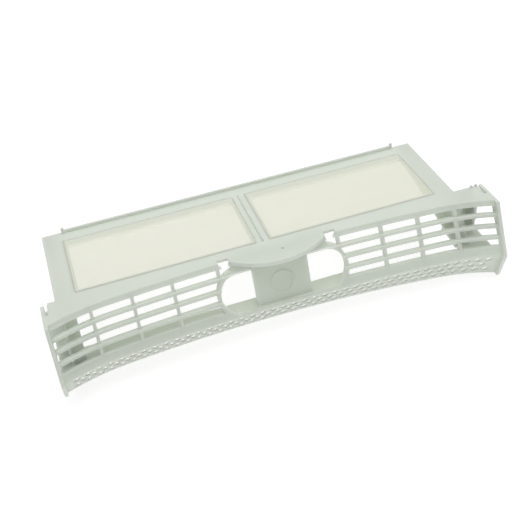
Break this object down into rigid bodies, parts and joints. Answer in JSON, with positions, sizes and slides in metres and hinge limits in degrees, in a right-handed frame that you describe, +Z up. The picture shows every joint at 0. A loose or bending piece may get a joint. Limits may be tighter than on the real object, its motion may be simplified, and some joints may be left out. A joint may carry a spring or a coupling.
{
  "type": "tumble dryer lint filter",
  "caption": "Wide pale plastic tray with two cloth windows, a curved slotted grille with an oval pull grip and a perforated chin; slides into a dryer's door opening to catch lint",
  "frame": {"origin": "On the deck's top behind the middle of the grille, on the line where the pocket meets the front strip and the strip stops against the dryer's opening", "axes": "X along the grille to the right, Y from the grille to the rear lip, the way the filter slides in, Z up out of the deck"},
  "size_m": [0.345, 0.1237, 0.0669],
  "materials": {
    "frame_plastic": "moulded satin polypropylene, pale grey-green",
    "filter_cloth": "fine woven polyester mesh, ivory"
  },
  "bodies": {
    "root": {"filter_frame": "frame_plastic", "left_mesh": "filter_cloth", "right_mesh": "filter_cloth"}
  },
  "joints": []
}
